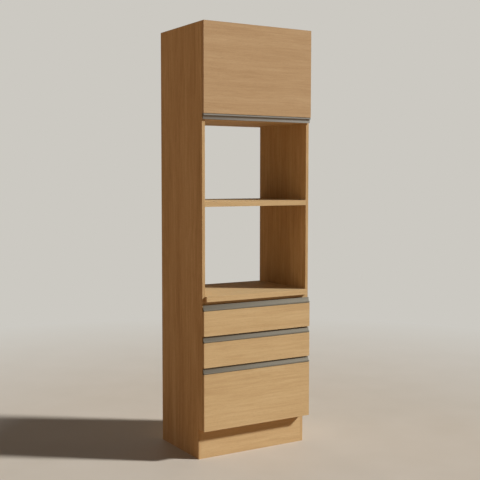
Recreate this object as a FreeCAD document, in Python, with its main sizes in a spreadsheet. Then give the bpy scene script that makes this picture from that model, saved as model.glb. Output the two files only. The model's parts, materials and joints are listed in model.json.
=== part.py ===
import FreeCAD, Part
import math
import os
import Sketcher
from FreeCAD import Placement, Rotation, Vector

# Tall microwave cabinet: a flap compartment on top, two niches that are open at the back,
# and three drawers over a set-back plinth.
# Frame: X to the right, Y to the back, Z up; the origin is on the floor at the middle of the
# cabinet's outline, so the fronts face -Y. All sizes are in millimetres.

SIZES = {
    # overall
    "cabinet_width": 600,
    "cabinet_depth": 440,
    # boards
    "board_thickness": 15,
    "niche_board_thickness": 25,
    "front_thickness": 15,
    "front_stand_off": 2,
    "back_panel_thickness": 3,
    "back_panel_inset": 15,
    # heights, from the floor up
    "toekick_height": 145,
    "toekick_depth": 39,
    "plinth_thickness": 15,
    "low_front_height": 271,
    "mid_front_height": 118,
    "top_front_height": 118,
    "front_spacing": 4,
    "grip_recess_height": 16,
    "lower_niche_height": 418,
    "upper_niche_height": 377,
    "flap_clearance": 1,
    "flap_height": 420,
    "wall_rail_height": 80,
    "front_rail_height": 48,
    # wall fixing holes
    "wall_hole_radius": 3,
    "wall_hole_spacing": 400,
    # grooves for the thin panels
    "groove_depth": 6,
    "groove_clearance": 0.1,
    # board fittings
    "fitting_inset": 60,
    "fitting_pitch": 32,
    "fitting_side_depth": 10,
    "fitting_clearance": 0.05,
    "upright_dowel_inset": 16,
    "dowel_radius": 4,
    "dowel_length": 30,
    "cam_radius": 7.5,
    "cam_depth": 11,
    "cam_inset": 24,
    "cam_bolt_radius": 3,
    # aluminium handle profile
    "handle_height": 27,
    "handle_wall": 1.4,
    "handle_lip_height": 8,
    "handle_lip_thickness": 1.6,
    "handle_shadow_gap": 2.2,
    "handle_shadow_depth": 4,
    "handle_finger_gap": 0.6,
    "handle_curve_radius": 46,
    "tongue_depth": 8,
    "tongue_thickness": 1.8,
    "tongue_clearance": 0.1,
    # continuous hinge of the flap
    "hinge_end_inset": 5,
    "hinge_leaf_height": 13,
    "hinge_leaf_gap": 0.2,
    "hinge_rise": 1.6,
    "hinge_barrel_radius": 1.8,
    "hinge_pin_radius": 0.9,
    "hinge_pin_clearance": 0.05,
    "hinge_barrel_gap": 0.3,
    "hinge_screw_radius": 1.2,
    "hinge_screw_length": 12,
    "hinge_screw_head_radius": 2.5,
    # gas struts
    "strut_lane": 12,
    "strut_eye_radius": 6,
    "strut_eye_width": 9,
    "strut_neck_radius": 4,
    "strut_neck_length": 3,
    "strut_stud_radius": 3,
    "strut_stud_clearance": 0.05,
    "strut_foot_back": 60,
    "strut_foot_drop": 330,
    "strut_ball_back": 26,
    "strut_ball_drop": 80,
    "strut_tube_radius": 7.5,
    "strut_tube_wall": 1,
    "strut_tube_length": 150,
    "strut_cap_length": 3,
    "strut_rod_radius": 3,
    "strut_piston_length": 8,
    "strut_piston_start": 22,
    "strut_side_gap": 0.3,
    "strut_plate_thickness": 2,
    "strut_plate_height": 40,
    "strut_plate_width": 16,
    # drawers
    "drawer_board_thickness": 15,
    "drawer_bottom_thickness": 3,
    "drawer_bottom_inset": 12,
    "low_drawer_lift": 20,
    "shallow_drawer_lift": 8,
    "drawer_screw_radius": 2,
    "drawer_screw_length": 27,
    "drawer_screw_head_radius": 4,
    "drawer_screw_head_height": 2,
    "drawer_screw_inset": 30,
    "low_box_height": 200,
    "mid_box_height": 90,
    "top_box_height": 90,
    "runner_length": 350,
    "runner_setback": 5,
    "runner_height": 45,
    "runner_width": 13,
    "runner_metal": 1.2,
    "runner_outer_flange": 9.5,
    "runner_mid_start": 2.2,
    "runner_mid_height": 41,
    "runner_mid_width": 9.3,
    "runner_inner_height": 35,
    "runner_inner_width": 8,
    # bumper pads
    "bumper_radius": 4,
    "bumper_thickness": 1.9,
    "bumper_inset": 15,
    # how far a cutting tool runs past the face that it opens
    "cut_margin": 1,
}

SIDES = ("left", "right")
HINGE_BARRELS = 7
HINGE_SCREWS = 4

ALONG = {"X": Rotation(Vector(0, 1, 0), 90), "Y": Rotation(Vector(1, 0, 0), -90), "Z": Rotation()}
HALF_TURN = Rotation(Vector(0, 1, 0), 180)

os.makedirs("parts", exist_ok=True)
doc = FreeCAD.newDocument("microwave_cabinet")


class Size:
    """A length that carries both its value and the expression that makes it from the sheet."""

    def __init__(self, value, text):
        self.value = value
        self.text = text

    def __add__(self, other):
        other = as_size(other)
        return Size(self.value + other.value, f"({self.text} + {other.text})")

    def __sub__(self, other):
        other = as_size(other)
        return Size(self.value - other.value, f"({self.text} - {other.text})")

    def __mul__(self, other):
        other = as_size(other)
        return Size(self.value * other.value, f"({self.text} * {other.text})")

    def __truediv__(self, other):
        other = as_size(other)
        return Size(self.value / other.value, f"({self.text} / {other.text})")

    def __neg__(self):
        return Size(-self.value, f"(-1 * {self.text})")


def as_size(number):
    return number if isinstance(number, Size) else Size(number, repr(number))


def sine(angle):
    return Size(math.sin(math.radians(angle.value)), f"sin({angle.text})")


def cosine(angle):
    return Size(math.cos(math.radians(angle.value)), f"cos({angle.text})")


def arc_tangent(ratio):
    return Size(math.degrees(math.atan(ratio.value)), f"atan({ratio.text})")


def root(number):
    return Size(math.sqrt(number.value), f"sqrt({number.text})")


class Sheet:
    """The driving dimensions: one cell and one alias each."""

    def __init__(self):
        cells = doc.addObject("Spreadsheet::Sheet", "Sizes")
        for row, (alias, number) in enumerate(SIZES.items(), start=1):
            cells.set(f"A{row}", alias)
            cells.set(f"B{row}", str(number))
            cells.setAlias(f"B{row}", alias)
            setattr(self, alias, Size(number, f"Sizes.{alias}"))


mm = Sheet()
doc.recompute()
nodes = []


def node(solid, label):
    """Name a finished piece: its label is its file's name."""
    solid.Label = label
    nodes.append(solid)
    return solid


def bind(item, prop, size):
    item.setExpression(prop, as_size(size).text)


def put(item, point, rotation=Rotation()):
    item.Placement = Placement(Vector(*(as_size(p).value for p in point)), rotation)
    for letter, place in zip("xyz", point):
        bind(item, f"Placement.Base.{letter}", place)


def block(name, x, y, z):
    """A box between two places on each axis."""
    item = doc.addObject("Part::Box", name)
    for prop, (low, high) in zip(("Length", "Width", "Height"), (x, y, z)):
        bind(item, prop, as_size(high) - low)
    put(item, [low for low, high in (x, y, z)])
    return item


def rod(name, axis, start, length, radius):
    """A cylinder from its start along +X, +Y or +Z."""
    item = doc.addObject("Part::Cylinder", name)
    bind(item, "Radius", radius)
    bind(item, "Height", length)
    put(item, start, ALONG[axis])
    return item


def group(name, pieces):
    item = doc.addObject("Part::Compound", name)
    item.Links = pieces
    return item


def fused(name, pieces):
    item = doc.addObject("Part::MultiFuse", name)
    item.Shapes = pieces
    return item


def cut(name, base, tools):
    item = doc.addObject("Part::Cut", name)
    item.Base = base
    item.Tool = tools[0] if len(tools) == 1 else group(f"{name}_cuts", tools)
    return item


# ---- the planes that the pieces share ----

half_width = mm.cabinet_width / 2
inner_half = half_width - mm.board_thickness
face = -mm.cabinet_depth / 2
back = mm.cabinet_depth / 2
front_back = face + mm.front_thickness
carcass_front = front_back + mm.front_stand_off
rail_front = back - mm.back_panel_inset

low_front_bottom = mm.toekick_height
low_front_top = low_front_bottom + mm.low_front_height
mid_front_bottom = low_front_top + mm.handle_height + mm.front_spacing
mid_front_top = mid_front_bottom + mm.mid_front_height
top_front_bottom = mid_front_top + mm.handle_height + mm.front_spacing
top_front_top = top_front_bottom + mm.top_front_height
niche_floor_bottom = top_front_top + mm.handle_height + mm.grip_recess_height
niche_floor_top = niche_floor_bottom + mm.niche_board_thickness
shelf_bottom = niche_floor_top + mm.lower_niche_height
shelf_top = shelf_bottom + mm.niche_board_thickness
ceiling_bottom = shelf_top + mm.upper_niche_height
ceiling_top = ceiling_bottom + mm.board_thickness
flap_bottom = ceiling_bottom + mm.flap_clearance + mm.handle_height
cabinet_top = flap_bottom + mm.flap_height
top_panel_bottom = cabinet_top - mm.board_thickness
base_top = mm.toekick_height + mm.board_thickness
plinth_front = carcass_front + mm.toekick_depth

full_x = (-half_width, half_width)
inner_x = (-inner_half, inner_half)
carcass_y = (carcass_front, back)
side_x = {"left": (-half_width, -inner_half), "right": (inner_half, half_width)}

# ---- board fittings: dowels, cam bolts and cam locks ----

dowels = []
cam_bolts = []
cam_locks = []
fitting_holes = []


def cross_rod(name, side, depth, reach, y, z, radius):
    """A rod along X, across the joint of a side panel and a board's end."""
    if side == "left":
        start = -inner_half - depth
    else:
        start = inner_half - reach
    return rod(name, "X", (start, y, z), as_size(depth) + reach, radius)


def add_dowel(name, side, y, z):
    reach = mm.dowel_length - mm.fitting_side_depth
    slack = mm.fitting_clearance
    inside = mm.dowel_radius - mm.fitting_clearance
    dowels.append(cross_rod(f"{name}_dowel", side, mm.fitting_side_depth, reach, y, z, inside))
    depth = mm.fitting_side_depth + slack
    hole = cross_rod(f"{name}_dowel_hole", side, depth, reach + slack, y, z, mm.dowel_radius)
    fitting_holes.append(hole)


def add_cam(name, side, y, board_bottom, board_height):
    middle = board_bottom + board_height / 2
    cam_size = mm.cam_radius - mm.fitting_clearance
    reach = mm.cam_inset - mm.cam_radius
    bolt_size = mm.cam_bolt_radius - mm.fitting_clearance
    centre = inner_half - mm.cam_inset
    if side == "left":
        centre = -centre
    cam_bolts.append(cross_rod(f"{name}_bolt", side, mm.fitting_side_depth, reach, y, middle, bolt_size))
    depth = mm.fitting_side_depth + mm.fitting_clearance
    bolt_hole = cross_rod(f"{name}_bolt_hole", side, depth, reach + mm.cut_margin, y, middle,
                          mm.cam_bolt_radius)
    cam_locks.append(rod(f"{name}_cam", "Z", (centre, y, board_bottom), mm.cam_depth, cam_size))
    cam_hole = rod(f"{name}_cam_hole", "Z", (centre, y, board_bottom - mm.cut_margin),
                   mm.cut_margin + mm.cam_depth + mm.fitting_clearance, mm.cam_radius)
    fitting_holes.extend([bolt_hole, cam_hole])


def board_fittings(name, bottom, height):
    """A cam and a dowel near each corner of a horizontal board."""
    for side in SIDES:
        for end, inset_from, step in (("front", carcass_front, 1), ("rear", back, -1)):
            cam_y = inset_from + mm.fitting_inset * step
            dowel_y = cam_y + mm.fitting_pitch * step
            add_cam(f"{name}_{side}_{end}", side, cam_y, bottom, height)
            add_dowel(f"{name}_{side}_{end}", side, dowel_y, bottom + height / 2)


def upright_fittings(name, y, low, high):
    """Two dowels in each end of a board that stands on edge."""
    inset = mm.upright_dowel_inset
    for side in SIDES:
        for place, z in (("lower", low + inset), ("upper", high - inset)):
            add_dowel(f"{name}_{side}_{place}", side, y, z)


HORIZONTAL_BOARDS = {
    "base_panel": (mm.toekick_height, mm.board_thickness, carcass_y),
    "niche_floor": (niche_floor_bottom, mm.niche_board_thickness, (face, back)),
    "niche_shelf": (shelf_bottom, mm.niche_board_thickness, carcass_y),
    "niche_ceiling": (ceiling_bottom, mm.board_thickness, carcass_y),
    "top_panel": (top_panel_bottom, mm.board_thickness, carcass_y),
}
UPRIGHT_BOARDS = {
    "plinth_board": ((plinth_front, plinth_front + mm.plinth_thickness), (as_size(0), mm.toekick_height)),
    "rear_stretcher": ((rail_front, back), (as_size(0), mm.toekick_height)),
    "front_rail": ((carcass_front, carcass_front + mm.board_thickness),
                   (niche_floor_bottom - mm.front_rail_height, niche_floor_bottom)),
    "wall_rail": ((rail_front, back), (top_panel_bottom - mm.wall_rail_height, top_panel_bottom)),
}

for name, (bottom, height, depth_range) in HORIZONTAL_BOARDS.items():
    board_fittings(name, bottom, height)
for name, (depth_range, (low, high)) in UPRIGHT_BOARDS.items():
    upright_fittings(name, (depth_range[0] + depth_range[1]) / 2, low, high)

# ---- thin back panels in their grooves ----


def groove_and_panel(name, x, y, z, thin):
    """A panel held on all edges, and the groove that takes it. thin is the axis it is thin on."""
    groove = []
    panel = []
    for axis, (low, high) in zip("xyz", (x, y, z)):
        if axis == thin:
            groove.append((low - mm.groove_clearance, high + mm.groove_clearance))
            panel.append((low, high))
        else:
            groove.append((low - mm.groove_depth, high + mm.groove_depth))
            inset = mm.groove_depth - mm.groove_clearance
            panel.append((low - inset, high + inset))
    return block(f"{name}_groove", *groove), block(f"{name}_sheet", *panel)


panel_back = rail_front - mm.groove_clearance
panel_y = (panel_back - mm.back_panel_thickness, panel_back)
upper_groove, upper_sheet = groove_and_panel(
    "upper_back", inner_x, panel_y, (ceiling_top, top_panel_bottom), "y")
lower_groove, lower_sheet = groove_and_panel(
    "lower_back", inner_x, panel_y, (base_top, niche_floor_bottom), "y")
wall_hole_z = top_panel_bottom - mm.wall_rail_height / 2
wall_hole_start = panel_y[0] - mm.cut_margin
wall_holes = group("wall_holes", [
    rod(f"wall_hole_{side}", "Y", (mm.wall_hole_spacing / 2 * step, wall_hole_start, wall_hole_z),
        back + mm.cut_margin - wall_hole_start, mm.wall_hole_radius)
    for side, step in zip(SIDES, (-1, 1))])
node(cut("upper_back", upper_sheet, [wall_holes]), "upper_back_panel")
node(lower_sheet, "lower_back_panel")

# ---- continuous hinge along the top edge: its places and screw holes ----

hinge_y = (front_back + carcass_front) / 2
hinge_z = cabinet_top + mm.hinge_rise
hinge_length = (inner_half - mm.hinge_end_inset) * 2
hinge_start = -hinge_length / 2
barrel_pitch = hinge_length / HINGE_BARRELS
leaf_z = (cabinet_top - mm.hinge_leaf_height, hinge_z)
LEAF_Y = {
    "cabinet": (hinge_y + mm.hinge_leaf_gap / 2, carcass_front),
    "door": (front_back, hinge_y - mm.hinge_leaf_gap / 2),
}
screw_z = cabinet_top - mm.hinge_leaf_height / 2


def screw_places():
    pitch = hinge_length / HINGE_SCREWS
    return [hinge_start + pitch * (number + 0.5) for number in range(HINGE_SCREWS)]


def shank_start(side, extra):
    """Where a screw's shank begins: at the leaf on the cabinet, or deep in the door."""
    if side == "cabinet":
        return LEAF_Y[side][1]
    return LEAF_Y[side][0] - mm.hinge_screw_length - extra


def pilot_holes(side):
    slack = mm.fitting_clearance
    return group(f"pilots_{side}", [
        rod(f"pilot_{side}_{number}", "Y", (x, shank_start(side, slack), screw_z),
            mm.hinge_screw_length + slack, mm.hinge_screw_radius + slack)
        for number, x in enumerate(screw_places())])


# ---- carcass boards ----

every_hole = group("fitting_holes", fitting_holes)


def side_panel(side):
    x = side_x[side]
    board = block(f"side_{side}", x, carcass_y, (0, cabinet_top))
    toekick = block(f"toekick_{side}", x, (carcass_front, plinth_front), (0, mm.toekick_height))
    notched = cut(f"side_{side}_notched", board, [toekick, upper_groove, lower_groove])
    node(cut(f"side_{side}_drilled", notched, [every_hole]), f"side_panel_{side}")


for side in SIDES:
    side_panel(side)

for name, (bottom, height, depth_range) in HORIZONTAL_BOARDS.items():
    board = block(f"{name}_board", inner_x, depth_range, (bottom, bottom + height))
    grooved = cut(f"{name}_grooved", board, [upper_groove, lower_groove])
    drilled = cut(f"{name}_drilled", grooved, [every_hole])
    if name == "top_panel":
        drilled = cut(f"{name}_piloted", drilled, [pilot_holes("cabinet")])
    node(drilled, name)

for name, (depth_range, height_range) in UPRIGHT_BOARDS.items():
    board = block(f"{name}_board", inner_x, depth_range, height_range)
    drilled = cut(f"{name}_drilled", board, [every_hole])
    if name == "wall_rail":
        drilled = cut(f"{name}_fixed", drilled, [wall_holes])
    node(drilled, name)

node(group("dowel_set", dowels), "dowels")
node(group("cam_fitting_set", cam_bolts + cam_locks), "cam_fittings")

# ---- fronts and their handle profiles ----


def draw_outline(sketch, points, arcs):
    """Close a fully bound outline. arcs gives, for a stretch's number, the circle's centre."""
    count = len(points)
    first = sketch.GeometryCount
    ends = []
    for number in range(count):
        a = Vector(points[number][0].value, points[number][1].value, 0)
        after = points[(number + 1) % count]
        b = Vector(after[0].value, after[1].value, 0)
        if number in arcs:
            centre = Vector(arcs[number][0].value, arcs[number][1].value, 0)
            radius = (a - centre).Length
            angles = [math.atan2(p.y - centre.y, p.x - centre.x) for p in (b, a)]
            circle = Part.Circle(centre, Vector(0, 0, 1), radius)
            sketch.addGeometry(Part.ArcOfCircle(circle, *angles), False)
            ends.append((2, 1))
        else:
            sketch.addGeometry(Part.LineSegment(a, b), False)
            ends.append((1, 2))
    for number in range(count):
        here = first + number
        after = first + (number + 1) % count
        joint = Sketcher.Constraint(
            "Coincident", here, ends[number][1], after, ends[(number + 1) % count][0])
        sketch.addConstraint(joint)
    for number, (x, y) in enumerate(points):
        here = first + number
        pin_point(sketch, here, ends[number][0], x, y)
    for number, (x, y) in arcs.items():
        centre_y = Sketcher.Constraint("DistanceY", -1, 1, first + number, 3, y.value)
        place = sketch.addConstraint(centre_y)
        bind(sketch, f"Constraints[{place}]", y)


def pin_point(sketch, geometry, end, x, y):
    """Hold one end of a line at a place measured from the sketch's origin."""
    for kind, axis, place in (("DistanceX", -2, x), ("DistanceY", -1, y)):
        if place.value == 0:
            sketch.addConstraint(Sketcher.Constraint("PointOnObject", geometry, end, axis))
        else:
            held = sketch.addConstraint(Sketcher.Constraint(kind, -1, 1, geometry, end, place.value))
            bind(sketch, f"Constraints[{held}]", place)


def handle_profile(label, edge, turned):
    """The extruded edge profile: tongue, foot, lip, finger curve, rear wall and hollow chamber.

    The section is drawn with its depth from the face plane along the sketch's X, and its height
    from the tongue's tip along the sketch's Y. turned hangs it from a lower edge.
    """
    body = doc.addObject("PartDesign::Body", label)
    sketch = body.newObject("Sketcher::SketchObject", f"{label}_section")
    origin = [f for f in body.Origin.OriginFeatures if f.Role == "YZ_Plane"][0]
    sketch.AttachmentSupport = [(origin, "")]
    sketch.MapMode = "FlatFace"
    zero = as_size(0)
    depth = mm.front_thickness
    wood = mm.tongue_depth
    top = wood + mm.handle_height
    tongue = ((depth - mm.tongue_thickness) / 2, (depth + mm.tongue_thickness) / 2)
    foot = wood + mm.handle_wall
    groove_x = mm.handle_lip_thickness + mm.handle_finger_gap
    groove_y = wood + mm.handle_shadow_gap + mm.handle_wall
    drop = top - groove_y
    centre_x = groove_x - root(mm.handle_curve_radius * mm.handle_curve_radius - drop * drop)
    wall = centre_x + mm.handle_curve_radius
    rear = wall + mm.handle_wall
    lip_top = wood + mm.handle_lip_height
    outer = [
        (tongue[0], zero), (tongue[1], zero), (tongue[1], wood), (depth, wood), (depth, foot),
        (rear, foot), (rear, top), (wall, top), (groove_x, groove_y),
        (mm.handle_lip_thickness, groove_y), (mm.handle_lip_thickness, lip_top), (zero, lip_top),
        (zero, wood + mm.handle_shadow_gap), (mm.handle_shadow_depth, wood + mm.handle_shadow_gap),
        (mm.handle_shadow_depth, wood), (tongue[0], wood)]
    draw_outline(sketch, outer, {7: (centre_x, top)})
    under = mm.handle_curve_radius + mm.handle_wall
    start = mm.handle_shadow_depth + mm.handle_wall
    reach_start = start - centre_x
    reach_wall = wall - centre_x
    chamber = [
        (start, foot), (wall, foot),
        (wall, top - root(under * under - reach_wall * reach_wall)),
        (start, top - root(under * under - reach_start * reach_start))]
    draw_outline(sketch, chamber, {2: (centre_x, top)})
    pad = body.newObject("PartDesign::Pad", f"{label}_pad")
    pad.Profile = sketch
    pad.Midplane = True
    bind(pad, "Length", mm.cabinet_width)
    sketch.Visibility = False
    body.Tip = pad
    if turned:
        put(body, (zero, face, edge + mm.tongue_depth), HALF_TURN)
    else:
        put(body, (zero, face, edge - mm.tongue_depth))
    node(body, label)


def front_panel(label, bottom, height, handle_at_top, more_cuts=()):
    """A front board with the kerf that holds the handle's tongue."""
    board = block(f"{label}_board", full_x, (face, front_back), (bottom, bottom + height))
    middle = face + mm.front_thickness / 2
    half_kerf = mm.tongue_thickness / 2 + mm.tongue_clearance
    depth = mm.tongue_depth + mm.tongue_clearance
    if handle_at_top:
        kerf_z = (bottom + height - depth, bottom + height)
    else:
        kerf_z = (bottom, bottom + depth)
    kerf = block(f"{label}_kerf", full_x, (middle - half_kerf, middle + half_kerf), kerf_z)
    node(cut(f"{label}_kerfed", board, [kerf, *more_cuts]), label)


front_panel("flap_panel", flap_bottom, mm.flap_height, handle_at_top=False,
            more_cuts=[pilot_holes("door")])
handle_profile("flap_handle", flap_bottom, turned=True)

# ---- the hinge's leaves, pin and screws ----


def barrel(name, number, radius, gap):
    start = hinge_start + barrel_pitch * number + gap / 2
    return rod(name, "X", (start, hinge_y, hinge_z), barrel_pitch - gap, radius)


def hinge_leaf(side, label):
    """One leaf: a strip in the gap behind the front, with every second barrel."""
    own = 0 if side == "cabinet" else 1
    strip = block(f"leaf_{side}", (hinge_start, -hinge_start), LEAF_Y[side], leaf_z)
    barrels = [barrel(f"barrel_{side}_{number}", number, mm.hinge_barrel_radius, mm.hinge_barrel_gap)
               for number in range(own, HINGE_BARRELS, 2)]
    room = mm.hinge_barrel_radius + mm.hinge_barrel_gap
    spaces = [barrel(f"space_{side}_{number}", number, room, as_size(0))
              for number in range(1 - own, HINGE_BARRELS, 2)]
    bore = rod(f"bore_{side}", "X", (hinge_start - mm.cut_margin, hinge_y, hinge_z),
               hinge_length + mm.cut_margin * 2, mm.hinge_pin_radius + mm.hinge_pin_clearance)
    trimmed = cut(f"leaf_{side}_trimmed", strip, spaces)
    joined = fused(f"leaf_{side}_joined", [trimmed, *barrels])
    bored = cut(f"leaf_{side}_bored", joined, [bore])
    node(cut(f"leaf_{side}_drilled", bored, screw_holes(side)), label)


def screw_holes(side):
    low, high = LEAF_Y[side]
    return [rod(f"head_hole_{side}_{number}", "Y", (x, low, screw_z), high - low,
                mm.hinge_screw_head_radius + mm.fitting_clearance)
            for number, x in enumerate(screw_places())]


def hinge_screws(side, label):
    """Flush screws: a head as thick as the leaf, and a shank in the board behind it."""
    low, high = LEAF_Y[side]
    screws = []
    for number, x in enumerate(screw_places()):
        head = rod(f"head_{side}_{number}", "Y", (x, low, screw_z), high - low, mm.hinge_screw_head_radius)
        shank = rod(f"shank_{side}_{number}", "Y", (x, shank_start(side, as_size(0)), screw_z),
                    mm.hinge_screw_length, mm.hinge_screw_radius)
        screws.append(fused(f"screw_{side}_{number}", [head, shank]))
    node(group(f"screws_{side}", screws), label)


hinge_leaf("cabinet", "hinge_leaf_cabinet")
hinge_leaf("door", "hinge_leaf_door")
node(rod("pin", "X", (hinge_start, hinge_y, hinge_z), hinge_length, mm.hinge_pin_radius), "hinge_pin")
hinge_screws("cabinet", "hinge_screws_cabinet")
hinge_screws("door", "hinge_screws_door")

# ---- gas struts beside the flap compartment ----

foot_y = hinge_y + mm.strut_foot_back
foot_z = hinge_z - mm.strut_foot_drop
ball_y = hinge_y + mm.strut_ball_back
ball_z = hinge_z - mm.strut_ball_drop
strut_run = mm.strut_foot_back - mm.strut_ball_back
strut_rise = mm.strut_foot_drop - mm.strut_ball_drop
strut_lean = arc_tangent(strut_run / strut_rise)
strut_closed = root(strut_run * strut_run + strut_rise * strut_rise)
lane_outer = mm.strut_lane - mm.strut_eye_width / 2
lane_inner = mm.strut_lane + mm.strut_eye_width / 2
eye_bite = mm.strut_eye_radius / 2


def from_wall(side, near, far):
    """The X range between two distances from a side panel's inner face."""
    if side == "left":
        return (near - inner_half, far - inner_half)
    return (inner_half - far, inner_half - near)


def wall_rod(name, side, near, far, y, z, radius):
    low, high = from_wall(side, as_size(near), as_size(far))
    return rod(name, "X", (low, y, z), high - low, radius)


def strut_rod(name, side, start, length, radius):
    """A round piece along the leaning strut's line, measured from its foot."""
    item = doc.addObject("Part::Cylinder", name)
    bind(item, "Radius", radius)
    bind(item, "Height", length)
    start = as_size(start)
    middle = from_wall(side, mm.strut_lane, mm.strut_lane)[0]
    place = (middle, foot_y - sine(strut_lean) * start, foot_z + cosine(strut_lean) * start)
    put(item, place, Rotation(Vector(1, 0, 0), strut_lean.value))
    bind(item, "Placement.Rotation.Angle", strut_lean)
    return item


def strut_cylinder(side):
    """The tube with its lower eye, bored for the piston and, in its cap, for the rod."""
    tube_start = mm.strut_eye_radius + mm.strut_neck_length
    inner = mm.strut_tube_radius - mm.strut_tube_wall
    bore_start = tube_start + mm.strut_cap_length
    bore_end = mm.strut_tube_length - mm.strut_cap_length
    eye = wall_rod(f"foot_eye_{side}", side, lane_outer, lane_inner, foot_y, foot_z, mm.strut_eye_radius)
    neck = strut_rod(f"neck_{side}", side, eye_bite, tube_start - eye_bite, mm.strut_neck_radius)
    tube = strut_rod(f"tube_{side}", side, tube_start, mm.strut_tube_length - tube_start,
                     mm.strut_tube_radius)
    hollow = strut_rod(f"tube_bore_{side}", side, bore_start, bore_end - bore_start, inner)
    cap_hole = strut_rod(f"cap_hole_{side}", side, bore_end - mm.cut_margin,
                         mm.strut_cap_length + mm.cut_margin * 2,
                         mm.strut_rod_radius + mm.strut_stud_clearance)
    stud_hole = wall_rod(f"stud_hole_{side}", side, lane_outer - mm.cut_margin,
                         lane_inner + mm.cut_margin, foot_y, foot_z,
                         mm.strut_stud_radius + mm.strut_stud_clearance)
    solid = fused(f"cylinder_{side}_solid", [eye, neck, tube])
    return cut(f"cylinder_{side}", solid, [fused(f"cylinder_{side}_voids", [hollow, cap_hole]), stud_hole])


def strut_plunger(side):
    """The rod with its piston in the tube and its eye at the door's bracket."""
    inner = mm.strut_tube_radius - mm.strut_tube_wall
    rod_end = strut_closed - eye_bite
    shaft = strut_rod(f"shaft_{side}", side, mm.strut_piston_start, rod_end - mm.strut_piston_start,
                      mm.strut_rod_radius)
    piston = strut_rod(f"piston_{side}", side, mm.strut_piston_start, mm.strut_piston_length,
                       inner - mm.strut_stud_clearance)
    eye = wall_rod(f"ball_eye_{side}", side, lane_outer, lane_inner, ball_y, ball_z, mm.strut_eye_radius)
    return fused(f"plunger_{side}", [shaft, piston, eye])


def cabinet_stud(side):
    """A plate on the side panel with a collar and the pin that carries the cylinder."""
    half_height = mm.strut_plate_height / 2
    half_width_y = mm.strut_plate_width / 2
    plate = block(f"stud_plate_{side}", from_wall(side, as_size(0), mm.strut_plate_thickness),
                  (foot_y - half_width_y, foot_y + half_width_y),
                  (foot_z - half_height, foot_z + half_height))
    collar = wall_rod(f"stud_collar_{side}", side, 0, lane_outer - mm.strut_side_gap, foot_y, foot_z,
                      mm.strut_eye_radius)
    pin = wall_rod(f"stud_pin_{side}", side, 0, lane_inner, foot_y, foot_z, mm.strut_stud_radius)
    return fused(f"stud_{side}", [plate, collar, pin])


def door_bracket(side):
    """A plate on the flap with an ear that stands beside the rod's eye."""
    ear_near = lane_inner + mm.strut_side_gap
    ear_far = ear_near + mm.strut_plate_thickness
    half_height = mm.strut_plate_height / 2
    plate = block(f"door_plate_{side}", from_wall(side, ear_near, ear_near + mm.strut_plate_width),
                  (front_back, front_back + mm.strut_plate_thickness),
                  (ball_z - half_height, ball_z + half_height))
    ear = block(f"door_ear_{side}", from_wall(side, ear_near, ear_far), (front_back, ball_y),
                (ball_z - mm.strut_eye_radius, ball_z + mm.strut_eye_radius))
    boss = wall_rod(f"door_boss_{side}", side, ear_near, ear_far, ball_y, ball_z, mm.strut_eye_radius)
    return fused(f"bracket_{side}", [plate, ear, boss])


node(group("strut_cylinder_pair", [strut_cylinder(side) for side in SIDES]), "strut_cylinders")
node(group("strut_plunger_pair", [strut_plunger(side) for side in SIDES]), "strut_rods")
node(group("cabinet_stud_pair", [cabinet_stud(side) for side in SIDES]), "strut_studs_cabinet")
node(group("door_bracket_pair", [door_bracket(side) for side in SIDES]), "strut_brackets_door")

# ---- drawers ----

DRAWERS = {
    "low": (low_front_bottom, mm.low_front_height, mm.low_drawer_lift, mm.low_box_height),
    "mid": (mid_front_bottom, mm.mid_front_height, mm.shallow_drawer_lift, mm.mid_box_height),
    "top": (top_front_bottom, mm.top_front_height, mm.shallow_drawer_lift, mm.top_box_height),
}

runner_y = (front_back + mm.runner_setback, front_back + mm.runner_setback + mm.runner_length)
box_y = (front_back, runner_y[1])
box_half = inner_half - mm.runner_width
box_inner_half = box_half - mm.drawer_board_thickness
box_inner_x = (-box_inner_half, box_inner_half)
box_inner_y = (box_y[0] + mm.drawer_board_thickness, box_y[1] - mm.drawer_board_thickness)


def channel(name, side, web, tips, middle_z, height):
    """A runner member: a web along the drawer and two flanges, from web's plane to the tips."""
    low_z = middle_z - height / 2
    high_z = middle_z + height / 2
    near, far = web
    web_x = from_wall(side, near, far)
    if tips.value > far.value:
        flange_x = from_wall(side, far, tips)
    else:
        flange_x = from_wall(side, tips, near)
    return fused(name, [
        block(f"{name}_web", web_x, runner_y, (low_z, high_z)),
        block(f"{name}_under", flange_x, runner_y, (low_z, low_z + mm.runner_metal)),
        block(f"{name}_over", flange_x, runner_y, (high_z - mm.runner_metal, high_z))])


def runner_set(drawer, middle_z):
    """The three nested members of the runners on both sides of a drawer."""
    metal = mm.runner_metal
    mid_end = mm.runner_mid_start + mm.runner_mid_width
    inner_tip = mm.runner_width - mm.runner_inner_width
    members = {
        "outer": ((as_size(0), metal), mm.runner_outer_flange, mm.runner_height),
        "middle": ((mm.runner_mid_start, mm.runner_mid_start + metal), mid_end, mm.runner_mid_height),
        "inner": ((mm.runner_width - metal, mm.runner_width), inner_tip, mm.runner_inner_height),
    }
    for member, (web, tips, height) in members.items():
        pair = [channel(f"{drawer}_{member}_{side}", side, web, tips, middle_z, height) for side in SIDES]
        node(group(f"{drawer}_{member}_pair", pair), f"runner_{member}_{drawer}")


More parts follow.
